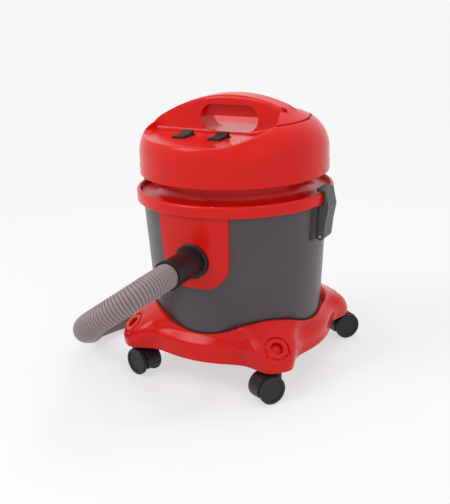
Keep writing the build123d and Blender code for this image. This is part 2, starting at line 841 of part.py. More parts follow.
with BuildPart() as head_cover:
    dome(0)
    add(cover_cavity.part, mode=Mode.SUBTRACT)
    add(deck_scoop.part, mode=Mode.SUBTRACT)
    mirror(deck_scoop.part, about=Plane.XZ, mode=Mode.SUBTRACT)
    with BuildSketch(Plane.XY.offset(handle_root_z + 15)):
        Rectangle(2 * deck_half_length, handle_width)
    extrude(amount=60, mode=Mode.SUBTRACT)
    add(handle.part)
    hole_bottom_z = deck_z + hand_hole_bottom
    hole_height = recess_top_z - hole_bottom_z
    for side in (-1, 1):
        with BuildSketch(Plane.XZ.offset(side * grip_width / 2)):
            with Locations((hand_hole_x, (hole_bottom_z + recess_top_z) / 2)):
                SlotOverall(hand_hole_length, hole_height)
        extrude(amount=side * 20, mode=Mode.SUBTRACT)
    with BuildSketch(Plane.XZ):
        with Locations((hand_hole_x, (hole_bottom_z + recess_top_z) / 2)):
            SlotOverall(hand_hole_length, hole_height)
        with Locations((hand_hole_x, grip_bottom_z)):
            Rectangle(hand_hole_length, hole_height, align=(Align.CENTER, Align.MIN), mode=Mode.SUBTRACT)
    extrude(amount=handle_width, both=True, mode=Mode.SUBTRACT)
    posts(wells, well_boss_radius, well_boss_z, well_floor_z + 3)
    posts(wells, well_radius, well_floor_z, handle_top_z, Mode.SUBTRACT)
    posts(wells, screw_radius + 0.3, well_boss_z, well_floor_z, Mode.SUBTRACT)
    for side in (-1, 1):
        with BuildSketch(Plane.XY.offset(slit_floor_z)):
            Circle(slit_radius + slit_width / 2)
            Circle(slit_radius - slit_width / 2, mode=Mode.SUBTRACT)
            wedge_x = side * 200
            wedge_y = 200 * tan(radians(slit_half_angle))
            Polygon((0, 0), (wedge_x, -wedge_y), (wedge_x, wedge_y), align=None, mode=Mode.INTERSECT)
        extrude(amount=40, mode=Mode.SUBTRACT)
    with BuildSketch(Plane.XY.offset(deck_z - 10)):
        with Locations(*[(x, switch_y) for x in switch_x]):
            Rectangle(switch_body_width + 2 * switch_fit, switch_body_length + 2 * switch_fit)
    extrude(amount=20, mode=Mode.SUBTRACT)
save(head_cover.part, "head_cover")

# ---------------------------------------------------------------- switches
rocker_pivot_z = deck_z + 1
for side, x in zip(("left", "right"), switch_x):
    switch_place = Location((x, switch_y, 0))
    with BuildPart() as switch_frame:
        with BuildSketch(Plane.XY.offset(deck_z - switch_depth)):
            Rectangle(switch_body_width, switch_body_length)
        extrude(amount=switch_depth)
        with BuildSketch(Plane.XY.offset(deck_z)):
            RectangleRounded(bezel_width, bezel_length, 2)
        extrude(amount=bezel_height)
        window_width = switch_body_width - 2 * switch_wall
        window_length = switch_body_length - 2 * switch_wall
        with BuildSketch(Plane.XY.offset(deck_z - switch_depth + 1.5)):
            Rectangle(window_width, window_length)
        extrude(amount=switch_depth + bezel_height, mode=Mode.SUBTRACT)
        with BuildSketch(Plane.YZ):
            with Locations((0, rocker_pivot_z)):
                Circle(trunnion_radius + running_gap)
        extrude(amount=switch_body_width / 2 - 0.2, both=True, mode=Mode.SUBTRACT)
    save(switch_place * switch_frame.part, f"switch_frame_{side}")
    with BuildPart() as rocker:
        with BuildSketch(Plane.YZ):
            with Locations(Location((0, rocker_pivot_z), rocker_tilt)):
                Polygon(
                    (-rocker_radius, rocker_end),
                    (0, rocker_valley),
                    (rocker_radius, rocker_end),
                    (rocker_radius, -rocker_end / 2),
                    (rocker_keel_half_length, -rocker_keel),
                    (-rocker_keel_half_length, -rocker_keel),
                    (-rocker_radius, -rocker_end / 2),
                    align=None,
                )
        extrude(amount=rocker_width / 2, both=True)
        with BuildSketch(Plane.YZ):
            with Locations((0, rocker_pivot_z)):
                Circle(rocker_radius)
        extrude(amount=rocker_width, both=True, mode=Mode.INTERSECT)
        with BuildSketch(Plane.YZ):
            with Locations((0, rocker_pivot_z)):
                Circle(trunnion_radius)
        extrude(amount=switch_body_width / 2 - 0.4, both=True)
    save(switch_place * rocker.part, f"rocker_{side}")

# ---------------------------------------------------------------- head base: ledge, neck and skirt ring
with BuildPart() as head_base:
    sweep_center = (foot_radius - foot_width, foot_top_z + neck_sweep)
    inner_turn = asin(neck_sweep / (neck_sweep + neck_wall))
    outer_sweep = [polar(sweep_center, neck_sweep, pi * (1 + share)) for share in (0.5, 0.25, 0)]
    inner_sweep = [polar(sweep_center, neck_sweep + neck_wall, pi + inner_turn * share) for share in (0, 0.5, 1)]
    skirt_floor_z = skirt_bottom_z + head_wall
    with BuildSketch(Plane.XZ):
        with BuildLine():
            Polyline((foot_radius, ledge_z), (foot_radius, foot_top_z), outer_sweep[0])
            ThreePointArc(*outer_sweep)
            Polyline(
                outer_sweep[2],
                (neck_radius, skirt_bottom_z),
                (skirt_radius - 1.5, skirt_bottom_z),
                (skirt_radius, skirt_bottom_z + 1.5),
                (skirt_radius, parting_z),
                (skirt_radius - head_wall, parting_z),
                (skirt_radius - head_wall, skirt_floor_z),
                (neck_bore, skirt_floor_z),
                inner_sweep[0],
            )
            ThreePointArc(*inner_sweep)
            Polyline(
                inner_sweep[2],
                (ledge_inner_radius, foot_top_z),
                (ledge_inner_radius, ledge_z),
                (foot_radius, ledge_z),
            )
        make_face()
    revolve(axis=Axis.Z)
    with BuildSketch(Plane.XY.offset(ledge_z)):
        for side, align in ((1, Align.MIN), (-1, Align.MAX)):
            with Locations((side * flat_x, 0)):
                Rectangle(20, 2 * foot_radius, align=(align, Align.CENTER))
    extrude(amount=head_wall, mode=Mode.SUBTRACT)
    posts(pan_screw_places, screw_radius, ledge_z, foot_top_z, Mode.SUBTRACT)
    gland_z = (skirt_bottom_z + parting_z) / 2 + 1
    with BuildSketch(Plane.XZ.offset(-skirt_radius - 5)):
        with Locations((0, gland_z)):
            Circle(5)
    extrude(amount=20, mode=Mode.SUBTRACT)
save(head_base.part, "head_base")

with BuildPart() as cable_gland:
    with BuildSketch(Plane.XZ.offset(head_wall - skirt_radius + 4)):
        with Locations((0, gland_z)):
            Circle(5)
    extrude(amount=-(head_wall + 4))
    with BuildSketch(Plane.XZ.offset(-skirt_radius)):
        with Locations((0, gland_z)):
            Circle(7.5)
    extrude(amount=-3)
    with BuildSketch(Plane.XZ.offset(-skirt_radius - 3)):
        with Locations((0, gland_z)):
            Circle(5)
    extrude(amount=-10, taper=10)
    with BuildSketch(Plane.XZ.offset(-skirt_radius + 20)):
        with Locations((0, gland_z)):
            Circle(2.6)
    extrude(amount=-60, mode=Mode.SUBTRACT)
save(cable_gland.part, "cable_gland")

# ---------------------------------------------------------------- motor pan and its screws
pan_rim_z = foot_top_z
pan_floor_top = pan_floor_z + head_wall
with BuildPart() as motor_pan:
    turned(
        [
            (pan_eye_radius, pan_floor_z),
            (pan_wall_radius, pan_floor_z),
            (pan_wall_radius, pan_rim_z),
            (pan_flange_radius, pan_rim_z),
            (pan_flange_radius, pan_rim_z + head_wall),
            (pan_wall_radius - head_wall, pan_rim_z + head_wall),
            (pan_wall_radius - head_wall, pan_floor_top),
            (pan_eye_radius, pan_floor_top),
        ]
    )
    posts(wells, tower_radius, pan_rim_z + 1, well_boss_z)
    posts(wells, screw_radius, well_boss_z - 22, well_boss_z, Mode.SUBTRACT)
    posts(pan_screw_places, screw_radius, pan_rim_z, pan_rim_z + head_wall, Mode.SUBTRACT)
save(motor_pan.part, "motor_pan")

with BuildPart() as pan_screws:
    pan_top = pan_rim_z + head_wall
    posts(pan_screw_places, screw_head_radius, pan_top, pan_top + screw_head_height)
    posts(pan_screw_places, screw_radius, ledge_z, pan_top)
save(pan_screws.part, "pan_screws")

with BuildPart() as cover_screws:
    posts(wells, screw_head_radius, well_floor_z, well_floor_z + screw_head_height)
    posts(wells, screw_radius, well_boss_z - 20, well_floor_z)
save(cover_screws.part, "cover_screws")

# ---------------------------------------------------------------- motor: gasket, case, frame, field, brushes
case_z = pan_floor_top + 2
with BuildPart() as motor_gasket:
    ring(40, fan_case_radius, pan_floor_top, case_z)
save(motor_gasket.part, "motor_gasket")

with BuildPart() as sound_foam:
    ring(fan_case_radius + 2, pan_wall_radius - head_wall - 0.3, pan_floor_top + 0.3, pan_rim_z)
save(sound_foam.part, "sound_foam")

with BuildPart() as fan_case:
    turned(
        [
            (pan_eye_radius, case_z),
            (fan_case_radius, case_z),
            (fan_case_radius, fan_case_top_z),
            (14, fan_case_top_z),
            (14, fan_case_top_z - 2.5),
            (fan_case_radius - 1.5, fan_case_top_z - 2.5),
            (fan_case_radius - 1.5, case_z + 1.5),
            (pan_eye_radius, case_z + 1.5),
        ]
    )
    for step in range(8):
        outward = (*around(45 * step, 1), 0)
        sideways = (*around(45 * step + 90, 1), 0)
        window = Plane(origin=(0, 0, 0), x_dir=sideways, z_dir=outward)
        with BuildSketch(window.offset(fan_case_radius - 6)):
            with Locations((0, fan_case_top_z - 9)):
                Rectangle(26, 7)
        extrude(amount=12, mode=Mode.SUBTRACT)
save(fan_case.part, "fan_case")

bearing_floor_z = fan_case_top_z
with BuildPart() as motor_frame:
    ring(bearing_radius, field_radius + motor_wall, bearing_floor_z, bearing_floor_z + bearing_width)
    ring(field_radius, field_radius + motor_wall, bearing_floor_z + bearing_width, motor_top_z)
    ring(bearing_radius, field_radius + motor_wall, motor_top_z - bearing_width, motor_top_z)
    slots = [around(45 + 90 * step, 30) for step in range(4)]
    posts(slots, 10, bearing_floor_z, motor_top_z, Mode.SUBTRACT)
save(motor_frame.part, "motor_frame")

with BuildPart() as motor_field:
    ring(field_bore, field_radius, bearing_floor_z + 14, bearing_floor_z + 46)
    for side in (-1, 1):
        with BuildSketch(Plane.XY.offset(bearing_floor_z + 9)):
            with Locations((side * 34, 0)):
                Ellipse(7, 20)
        extrude(amount=42)
save(motor_field.part, "motor_field")

with BuildPart() as brush_holders:
    with BuildSketch(Plane.XY.offset(bearing_floor_z + 54)):
        Rectangle(8, 2 * field_radius)
        Circle(commutator_radius + 0.4, mode=Mode.SUBTRACT)
    extrude(amount=8)
    ring(0, field_radius, bearing_floor_z + 50, bearing_floor_z + 66, Mode.INTERSECT)
save(brush_holders.part, "brush_holders")

for name, bottom in (("bearing_lower", bearing_floor_z), ("bearing_upper", motor_top_z - bearing_width)):
    with BuildPart() as bearing:
        ring(shaft_radius + running_gap, bearing_radius, bottom, bottom + bearing_width)
    save(bearing.part, name)

# ---------------------------------------------------------------- rotor, shaft and fan
with BuildPart() as motor_shaft:
    ring(0, shaft_radius, shaft_bottom_z, shaft_top_z)
save(motor_shaft.part, "motor_shaft")

with BuildPart() as rotor:
    ring(shaft_radius, rotor_radius, bearing_floor_z + 14, bearing_floor_z + 46)
    ring(shaft_radius, commutator_radius, bearing_floor_z + 46, bearing_floor_z + 64)
save(rotor.part, "rotor")

with BuildPart() as fan:
    ring(shaft_radius, fan_radius, fan_top_z - 1.5, fan_top_z)
    ring(pan_eye_radius, fan_radius, fan_bottom_z, fan_bottom_z + 1.5)
    ring(shaft_radius, 10, shaft_bottom_z, fan_top_z)
    for step in range(8):
        with BuildSketch(Plane.XY.offset(fan_bottom_z + 1.5)):
            with Locations(Location((0, 0), 45.0 * step)):
                with Locations(Location((fan_radius / 2 + 12, 0), 18)):
                    Rectangle(fan_radius - 32, 1.5)
        extrude(amount=fan_top_z - fan_bottom_z - 3)
save(fan.part, "fan")

# ---------------------------------------------------------------- float cage, ball, filter
ball_rest_z = cage_bottom_z + 3 + ball_rest_gap + ball_radius
with BuildPart() as float_cage:
    ring(cage_inner_radius, cage_inner_radius + 6.4, pan_floor_z - 3, pan_floor_z)
    ring(0, cage_inner_radius + 4, cage_bottom_z, cage_bottom_z + 3)
    bars = [around(45 * step, cage_inner_radius + 2.2) for step in range(8)]
    posts(bars, 2.0, cage_bottom_z, pan_floor_z)
    posts([around(45 * step, 16) for step in range(8)], 4, cage_bottom_z, cage_bottom_z + 3, Mode.SUBTRACT)
save(float_cage.part, "float_cage")

with BuildPart() as float_ball:
    with Locations((0, 0, ball_rest_z)):
        Sphere(ball_radius)
save(float_ball.part, "float_ball")
lift = pan_floor_z - sqrt(ball_radius**2 - pan_eye_radius**2) - ball_rest_z
print("float travel, mm:", round(lift, 2))

with BuildPart() as filter_sleeve:
    ring(0, filter_radius, filter_bottom_z, pan_floor_z)
    ring(0, filter_inner_radius, filter_bottom_z + filter_wall, pan_floor_z, Mode.SUBTRACT)
save(filter_sleeve.part, "filter")

with BuildPart() as filter_ring:
    ring(filter_radius, filter_radius + 1.5, pan_floor_z - 14, pan_floor_z - 6)
save(filter_ring.part, "filter_ring")
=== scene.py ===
"""Skins, materials, light and camera for a wet and dry shop vacuum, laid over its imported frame."""

import json
from math import pi, radians

import bmesh
import bpy
import numpy as np
from mathutils import Matrix, Vector


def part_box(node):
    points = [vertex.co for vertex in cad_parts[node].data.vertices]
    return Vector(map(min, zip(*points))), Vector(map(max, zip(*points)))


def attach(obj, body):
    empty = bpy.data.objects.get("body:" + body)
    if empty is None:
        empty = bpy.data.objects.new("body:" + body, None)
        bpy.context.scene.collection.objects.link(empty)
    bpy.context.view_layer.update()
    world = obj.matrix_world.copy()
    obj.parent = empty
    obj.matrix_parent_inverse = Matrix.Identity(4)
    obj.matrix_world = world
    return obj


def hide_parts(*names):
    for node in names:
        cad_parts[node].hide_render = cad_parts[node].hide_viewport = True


bl_info = {
    "name": "Shop vacuum dresser",
    "version": (1, 0, 0),
    "blender": (4, 5, 0),
    "location": "3D View > Sidebar > Vacuum",
    "description": "Dresses the vacuum's frame with skins, a ribbed hose, materials, light and a camera",
    "category": "Object",
}

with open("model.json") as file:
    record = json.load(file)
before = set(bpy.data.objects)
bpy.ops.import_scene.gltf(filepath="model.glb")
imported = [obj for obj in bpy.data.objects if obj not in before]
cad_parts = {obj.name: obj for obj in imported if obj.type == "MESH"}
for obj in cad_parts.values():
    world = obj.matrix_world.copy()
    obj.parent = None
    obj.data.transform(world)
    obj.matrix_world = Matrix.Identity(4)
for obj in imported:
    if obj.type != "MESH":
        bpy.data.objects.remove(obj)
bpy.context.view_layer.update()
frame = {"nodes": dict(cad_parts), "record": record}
NODES = frame["nodes"]
BODY_OF = {node: body for body, nodes in frame["record"]["behaviour"]["bodies"].items() for node in nodes}
SLOT_OF = {part["node"]: part["material_slot"] for part in frame["record"]["subparts"]}
CASTERS = ("front_left", "front_right", "rear_right", "rear_left")
SIDES = ("left", "right")

# Route of the hose's centreline, in metres, from inside the cuff to the connector.
HOSE_ROUTE = (
    (0.0, -0.2221, 0.237),
    (0.0, -0.302, 0.236),
    (-0.051, -0.348, 0.199),
    (-0.113, -0.333, 0.157),
    (-0.154, -0.254, 0.118),
    (-0.222, -0.177, 0.074),
    (-0.283, -0.096, 0.033),
    (-0.284, -0.008, 0.0206),
    (-0.245, 0.066, 0.0206),
    (-0.248, 0.148, 0.0206),
    (-0.301, 0.220, 0.0206),
    (-0.344, 0.318, 0.0206),
    (-0.310, 0.436, 0.0206),
    (-0.200, 0.494, 0.0206),
    (-0.081, 0.457, 0.0206),
    (-0.025, 0.360, 0.0231),
    (0.012, 0.272, 0.0231),
)


# ---------------------------------------------------------------- properties
class VacuumFinish(bpy.types.PropertyGroup):
    """Colours and roughnesses of the outer pieces."""

    red: bpy.props.FloatVectorProperty(
        name="Red",
        description="Colour of the moulded red plastic",
        subtype="COLOR",
        default=(0.63, 0.009, 0.006),
    )
    drum: bpy.props.FloatVectorProperty(
        name="Drum",
        description="Colour of the tank's drum",
        subtype="COLOR",
        default=(0.064, 0.052, 0.057),
    )
    black: bpy.props.FloatVectorProperty(
        name="Black",
        description="Colour of the black plastic",
        subtype="COLOR",
        default=(0.011, 0.009, 0.009),
    )
    latch: bpy.props.FloatVectorProperty(
        name="Latch",
        description="Colour of the latches",
        subtype="COLOR",
        default=(0.05, 0.045, 0.048),
    )
    rib: bpy.props.FloatVectorProperty(
        name="Rib",
        description="Colour of the hose's ribs",
        subtype="COLOR",
        default=(0.28, 0.21, 0.215),
    )
    # Painted shade: the darker colour between the hose's ribs stands in for the shade that falls in its
    # furrows.
    furrow_shade: bpy.props.FloatVectorProperty(
        name="Furrow",
        description="Colour between the hose's ribs",
        subtype="COLOR",
        default=(0.075, 0.047, 0.05),
    )
    gloss: bpy.props.FloatProperty(
        name="Gloss roughness",
        description="Roughness of the red plastic",
        subtype="FACTOR",
        min=0,
        max=1,
        default=0.22,
    )


class VacuumHose(bpy.types.PropertyGroup):
    """Sizes of the ribbed hose."""

    radius: bpy.props.FloatProperty(
        name="Radius", description="Outer radius over the ribs", default=0.0205, unit="LENGTH"
    )
    rib_height: bpy.props.FloatProperty(
        name="Rib height", description="From the furrow to the rib's top", default=0.0016, unit="LENGTH"
    )
    rib_pitch: bpy.props.FloatProperty(
        name="Rib pitch", description="From one rib to the next", default=0.0053, unit="LENGTH"
    )


class VacuumStudio(bpy.types.PropertyGroup):
    """Camera and light."""

    eye: bpy.props.FloatVectorProperty(
        name="Eye",
        description="Where the camera stands",
        subtype="XYZ",
        unit="LENGTH",
        default=(0.6815, -1.335, 0.6908),
    )
    heading: bpy.props.FloatProperty(
        name="Heading",
        description="Turn of the camera about the upright",
        subtype="ANGLE",
        default=radians(27.9),
    )
    dip: bpy.props.FloatProperty(
        name="Dip", description="How far the camera looks down", subtype="ANGLE", default=radians(18.03)
    )
    roll: bpy.props.FloatProperty(
        name="Roll", description="Turn of the camera about its view", subtype="ANGLE", default=radians(-1.76)
    )
    lens: bpy.props.FloatProperty(name="Lens", description="Focal length in millimetres", default=60.27)
    ambient: bpy.props.FloatProperty(name="Ambient", description="Strength of the even light", default=0.62)
    key: bpy.props.FloatProperty(
        name="Key", description="Power of the main lamp", default=26.0, unit="POWER"
    )


# ---------------------------------------------------------------- materials
# Colour sockets of the Mix node, whose names it shares with its other kinds.
MIX_FIRST, MIX_SECOND, MIX_RESULT = 6, 7, 2
MIDDLE_OF_NOISE = (0.3, 0.7)
UNEVEN_GLOSS = 0.12


def node_tree(name):
    """A new node material: its tree, its Principled shader and its object coordinates."""
    material = bpy.data.materials.new(name)
    material.use_nodes = True
    tree = material.node_tree
    shader = tree.nodes["Principled BSDF"]
    place = tree.nodes.new("ShaderNodeTexCoord")
    return material, tree, shader, place.outputs["Object"]


def noise(tree, place, scale, detail, stretch=None):
    """Noise of a given number of cells per metre, stretched along an axis where asked."""
    if stretch:
        mapping = tree.nodes.new("ShaderNodeMapping")
        mapping.inputs["Scale"].default_value = stretch
        tree.links.new(place, mapping.inputs["Vector"])
        place = mapping.outputs["Vector"]
    texture = tree.nodes.new("ShaderNodeTexNoise")
    texture.inputs["Scale"].default_value = scale
    texture.inputs["Detail"].default_value = detail
    tree.links.new(place, texture.inputs["Vector"])
    return texture.outputs["Fac"]


def spread(tree, value, low, high):
    """Stretch the middle values of a noise over a range."""
    node = tree.nodes.new("ShaderNodeMapRange")
    node.inputs["From Min"].default_value = MIDDLE_OF_NOISE[0]
    node.inputs["From Max"].default_value = MIDDLE_OF_NOISE[1]
    node.inputs["To Min"].default_value = low
    node.inputs["To Max"].default_value = high
    tree.links.new(value, node.inputs["Value"])
    return node.outputs["Result"]


def blend_colors(tree, share, first, second):
    """Mix two colours by a share; a colour may be a tuple or a socket."""
    node = tree.nodes.new("ShaderNodeMix")
    node.data_type = "RGBA"
    tree.links.new(share, node.inputs["Factor"])
    for socket, color in ((node.inputs[MIX_FIRST], first), (node.inputs[MIX_SECOND], second)):
        if isinstance(color, bpy.types.NodeSocket):
            tree.links.new(color, socket)
        else:
            socket.default_value = (*color[:3], 1)
    return node.outputs[MIX_RESULT]


def tint(color, factor):
    """A colour made lighter or darker."""
    return tuple(min(1.0, channel * factor) for channel in color[:3])


def bump(tree, shader, height, depth):
    """Roughen the surface by a height, depth metres deep."""
    node = tree.nodes.new("ShaderNodeBump")
    node.inputs["Strength"].default_value = 1.0
    node.inputs["Distance"].default_value = depth
    tree.links.new(height, node.inputs["Height"])
    tree.links.new(node.outputs["Normal"], shader.inputs["Normal"])


def moulded(name, color, roughness, grain, depth, mottling=0.05, shine=0.5):
    """Moulded plastic or rubber: slight flow mottling, uneven gloss and a fine grain, depth metres deep."""
    material, tree, shader, place = node_tree(name)
    flow = spread(tree, noise(tree, place, 14, 4), 0, 1)
    shade = blend_colors(tree, flow, tint(color, 1 - mottling), tint(color, 1 + mottling))
    tree.links.new(shade, shader.inputs["Base Color"])
    low, high = roughness * (1 - UNEVEN_GLOSS), roughness * (1 + UNEVEN_GLOSS)
    uneven = spread(tree, noise(tree, place, 45, 5), low, high)
    tree.links.new(uneven, shader.inputs["Roughness"])
    bump(tree, shader, noise(tree, place, grain, 2), depth)
    shader.inputs["Specular IOR Level"].default_value = shine
    return material


def metal(name, color, roughness, stretch=(1, 1, 30)):
    """Worked metal: fine streaks across the surface."""
    material, tree, shader, place = node_tree(name)
    shader.inputs["Metallic"].default_value = 1.0
    streaks = noise(tree, place, 240, 4, stretch)
    shade = blend_colors(tree, spread(tree, streaks, 0, 1), tint(color, 0.85), tint(color, 1.1))
    tree.links.new(shade, shader.inputs["Base Color"])
    tree.links.new(spread(tree, streaks, roughness * 0.8, roughness * 1.25), shader.inputs["Roughness"])
    bump(tree, shader, streaks, 0.00001)
    return material


def fibrous(name, color, scale):
    """Foam or cloth: an open cell pattern with deep grain."""
    material, tree, shader, place = node_tree(name)
    cells = tree.nodes.new("ShaderNodeTexVoronoi")
    cells.inputs["Scale"].default_value = scale
    tree.links.new(place, cells.inputs["Vector"])
    shade = blend_colors(tree, cells.outputs["Distance"], tint(color, 0.6), tint(color, 1.15))
    tree.links.new(shade, shader.inputs["Base Color"])
    shader.inputs["Roughness"].default_value = 0.9
    bump(tree, shader, cells.outputs["Distance"], 0.0004)
    return material


def ribbed(name, crest, furrow_shade):
    """Hose plastic: its own colour on the ribs and a darker painted shade between them, read from the mesh's
    rib attribute.
    """
    material, tree, shader, place = node_tree(name)
    height = tree.nodes.new("ShaderNodeAttribute")
    height.attribute_name = "rib"
    # Painted shade: the furrows between the ribs get the darker colour, as if in shadow; the ribs keep the
    # hose's own colour.
    shade = blend_colors(tree, height.outputs["Fac"], furrow_shade, crest)
    wear = blend_colors(tree, spread(tree, noise(tree, place, 30, 4), 0, 0.16), shade, tint(crest, 1.15))
    tree.links.new(wear, shader.inputs["Base Color"])
    tree.links.new(spread(tree, noise(tree, place, 300, 3), 0.38, 0.5), shader.inputs["Roughness"])
    bump(tree, shader, noise(tree, place, 1600, 2), 0.00003)
    return material


def finishes():
    """One material for each slot of the record, made once."""
    look = bpy.context.scene.vacuum_finish
    return {
        "red_plastic": moulded(
            "Red gloss plastic", look.red, look.gloss, 700, 0.000008, mottling=0.03, shine=0.22
        ),
        "drum_plastic": moulded("Drum plastic", look.drum, 0.34, 1500, 0.00002, mottling=0.04, shine=0.4),
        "black_plastic": moulded("Black plastic", look.black, 0.38, 1300, 0.00005, mottling=0.1, shine=0.35),
        "grey_plastic": moulded("Latch plastic", look.latch, 0.42, 1300, 0.00005, mottling=0.08),
        "hose_plastic": ribbed("Hose plastic", look.rib, look.furrow_shade),
        "seal_rubber": moulded("Seal rubber", (0.012, 0.012, 0.012), 0.7, 900, 0.00006),
        "wheel_plastic": moulded(
            "Wheel plastic", (0.014, 0.012, 0.013), 0.45, 1300, 0.00005, mottling=0.1, shine=0.35
        ),
        "steel": metal("Steel", (0.58, 0.58, 0.6), 0.3),
        "sheet_steel": metal("Sheet steel", (0.62, 0.62, 0.61), 0.38, (30, 1, 1)),
        "copper": metal("Enamelled copper", (0.75, 0.32, 0.14), 0.35, (1, 1, 60)),
        "foam": fibrous("Sound foam", (0.10, 0.10, 0.11), 500),
        "filter_cloth": fibrous("Filter cloth", (0.78, 0.76, 0.7), 1100),
        "white_plastic": moulded("Natural plastic", (0.78, 0.77, 0.73), 0.4, 900, 0.00003),
        "carbon": moulded("Carbon", (0.03, 0.03, 0.032), 0.6, 700, 0.00008),
    }


MATERIALS = {}


def finish_of(slot):
    """The material of a slot; all of them are made the first time."""
    if not MATERIALS:
        MATERIALS.update(finishes())
    return MATERIALS[slot]


# ---------------------------------------------------------------- meshes
MERGE_DISTANCE = 4e-6
SHELL_MERGE = 2e-6
TINY = 1e-6
FLAT_ANGLE = radians(0.3)
SHARP_ANGLE = radians(30)


def link(thing):
    """Put an object into the scene."""
    bpy.context.scene.collection.objects.link(thing)


def piece_from(mesh, name, node):
    """Link a finished mesh as a piece that stands for a CAD node and rides with its body."""
    piece = bpy.data.objects.new(name, mesh)
    link(piece)
    slot = SLOT_OF[node]
    mesh.materials.clear()
    mesh.materials.append(finish_of(slot))
    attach(piece, BODY_OF[node])
    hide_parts(node)
    return piece


def skin(node, edge):
    """Cover a CAD node with a merged, smooth copy whose hard edges are rounded by edge metres."""
    mesh = NODES[node].data.copy()
    work = bmesh.new()
    work.from_mesh(mesh)
    bmesh.ops.remove_doubles(work, verts=work.verts, dist=MERGE_DISTANCE)
    bmesh.ops.dissolve_limit(work, angle_limit=FLAT_ANGLE, verts=work.verts, edges=work.edges)
    work.to_mesh(mesh)
    work.free()
    mesh.shade_smooth()
    mesh.set_sharp_from_angle(angle=SHARP_ANGLE)
    piece = piece_from(mesh, node + "_skin", node)
    rounding = piece.modifiers.new("Rounded edges", "BEVEL")
    rounding.width = edge
    rounding.segments = 2
    rounding.limit_method = "ANGLE"
    rounding.angle_limit = SHARP_ANGLE
    rounding.harden_normals = True
    return piece


def grid_mesh(name, points, close_rows=False, close_columns=False):
    """A mesh of quads over a grid of points (rows, columns, 3), its ends joined where asked."""
    rows, columns = points.shape[:2]
    down = np.arange(rows if close_rows else rows - 1)
    along = np.arange(columns if close_columns else columns - 1)
    i, j = np.meshgrid(down * columns, along, indexing="ij")
    next_i = (i + columns) % (rows * columns)
    next_j = (j + 1) % columns
    quads = np.stack([i + j, i + next_j, next_i + next_j, next_i + j], -1)
    mesh = bpy.data.meshes.new(name)
    mesh.from_pydata(points.reshape(-1, 3).tolist(), [], quads.reshape(-1, 4).tolist())
    mesh.shade_smooth()
    return mesh


def face_outwards(mesh, merge=0):
    """Turn a closed mesh's faces outwards, after merging points that lie closer than a distance."""
    work = bmesh.new()
    work.from_mesh(mesh)
    if merge:
        bmesh.ops.remove_doubles(work, verts=work.verts, dist=merge)
    bmesh.ops.recalc_face_normals(work, faces=work.faces)
    work.to_mesh(mesh)
    work.free()


# ---------------------------------------------------------------- hose
LINE_STEPS = 48
STEPS_PER_RIB = 6
HOSE_SIDES = 28
SHOWN_WALL = 0.0012


def route_points():
    """Points along the hose's smooth line: a quadratic NURBS spline with the route as control points."""
    line = bpy.data.curves.new("hose_line", "CURVE")
    line.dimensions = "3D"
    line.resolution_u = LINE_STEPS
    spline = line.splines.new("NURBS")
    spline.points.add(len(HOSE_ROUTE) - 1)
    for point, place in zip(spline.points, HOSE_ROUTE):
        point.co = (*place, 1)
    spline.order_u = 3
    spline.use_endpoint_u = True
    holder = bpy.data.objects.new("hose_line", line)
    link(holder)
    mesh = bpy.data.meshes.new_from_object(holder)
    points = np.empty(len(mesh.vertices) * 3)
    mesh.vertices.foreach_get("co", points)
    bpy.data.objects.remove(holder)
    bpy.data.curves.remove(line)
    bpy.data.meshes.remove(mesh)
    return points.reshape(-1, 3)


def evenly(points, count):
    """Resample a line at equal steps of its length; also its length."""
    steps = np.linalg.norm(np.diff(points, axis=0), axis=1)
    run = np.concatenate([[0], np.cumsum(steps)])
    at = np.linspace(0, run[-1], count)
    return np.stack([np.interp(at, run, points[:, axis]) for axis in range(3)], -1), at


def hose_tube(points, sizes):
    """Ribbed tube along a line.

    Radius = outer radius - rib height * (1 - crest), crest = (0.5 + 0.5 cos(2 pi s / pitch))^0.6 at length s.
    The cross-section's first axis is level: tangent x up, which is never zero as the line is never upright.
    """
    length = np.linalg.norm(np.diff(points, axis=0), axis=1).sum()
    line, at = evenly(points, int(length / sizes.rib_pitch) * STEPS_PER_RIB + 1)
    tangent = np.gradient(line, axis=0)
    tangent /= np.linalg.norm(tangent, axis=1, keepdims=True)
    level = np.cross(tangent, (0, 0, 1))
    level /= np.linalg.norm(level, axis=1, keepdims=True)
    lift = np.cross(level, tangent)
    crest = (0.5 + 0.5 * np.cos(2 * pi * at / sizes.rib_pitch)) ** 0.6
    radius = sizes.radius - sizes.rib_height * (1 - crest)
    turn = np.linspace(0, 2 * pi, HOSE_SIDES, endpoint=False)
    ring = np.cos(turn)[None, :, None] * level[:, None] + np.sin(turn)[None, :, None] * lift[:, None]
    tube = line[:, None] + radius[:, None, None] * ring
    mesh = grid_mesh("hose_ribs", tube, close_columns=True)
    height = mesh.attributes.new("rib", "FLOAT", "POINT")
    height.data.foreach_set("value", np.repeat(crest, len(turn)))
    return mesh, line, length


class VACUUM_OT_hose(bpy.types.Operator):
    """Make the ribbed hose along its route, with its cuff and connector."""

    bl_idname = "vacuum.hose"
    bl_label = "Hose"

    def execute(self, context):
        sizes = context.scene.vacuum_hose
        mesh, line, length = hose_tube(route_points(), sizes)
        hose = piece_from(mesh, "hose_ribbed", "hose")
        wall = hose.modifiers.new("Wall", "SOLIDIFY")
        wall.thickness = SHOWN_WALL
        wall.offset = -1
        cuff = skin("hose_cuff", 0.0008)
        connector = skin("hose_connector", 0.0008)
        return {"FINISHED"}


# ---------------------------------------------------------------- tank
# Corners of the rim collar's section, in metres: radius, height and rounding.
COLLAR_SECTION = (
    (0.1596, 0.307, 0.0004),
    (0.1646, 0.307, 0.0004),
    (0.1646, 0.3185, 0),
    (0.172, 0.3185, 0),
    (0.172, 0.3159, 0.0008),
    (0.1783, 0.3159, 0.0014),
    (0.1783, 0.3362, 0.0045),
    (0.172, 0.3362, 0.0012),
    (0.172, 0.3215, 0.0012),
    (0.1596, 0.3215, 0.0008),
)
CORNER_STEPS = 7
TURNED_STEPS = 256


